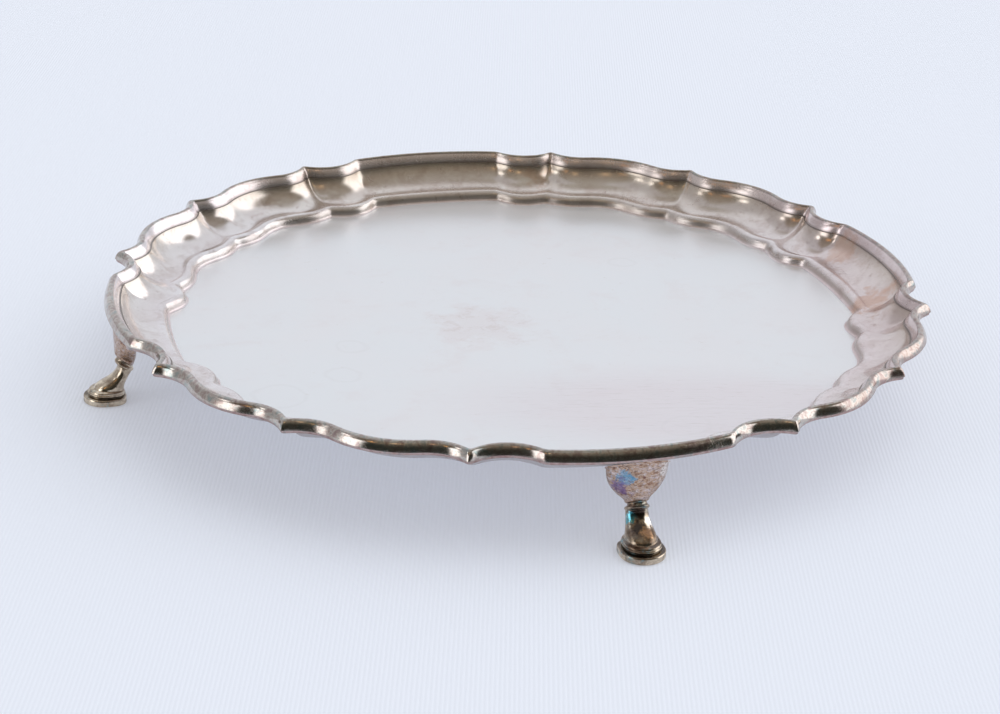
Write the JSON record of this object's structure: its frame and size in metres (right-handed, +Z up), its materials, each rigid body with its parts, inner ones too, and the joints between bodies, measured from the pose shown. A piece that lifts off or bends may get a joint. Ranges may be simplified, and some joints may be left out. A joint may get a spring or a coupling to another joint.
{
  "type": "footed salver",
  "caption": "Round flat serving tray with a raised scalloped pie-crust border, standing on hoof feet under small half-bowl knees.",
  "frame": {"origin": "on the table plane, under the middle of the tray", "axes": "+Z up along the tray's axis; the feet stand on +X, +Y, -X and -Y"},
  "size_m": [0.2132, 0.2132, 0.0241],
  "materials": {
    "plate_silver": "polished silver, fine scratches, faint tarnish",
    "border_silver": "polished silver, tarnish in the hollows",
    "knee_silver": "cast silver, coppery and violet tarnish",
    "leg_silver": "cast silver, golden-brown tarnish"
  },
  "bodies": {
    "root": {"tray_plate": "plate_silver", "border_section_right": "border_silver", "border_section_back": "border_silver", "border_section_left": "border_silver", "border_section_front": "border_silver", "knee_bracket_right": "knee_silver", "knee_bracket_back": "knee_silver", "knee_bracket_left": "knee_silver", "knee_bracket_front": "knee_silver", "hoof_leg_right": "leg_silver", "hoof_leg_back": "leg_silver", "hoof_leg_left": "leg_silver", "hoof_leg_front": "leg_silver"}
  },
  "joints": []
}
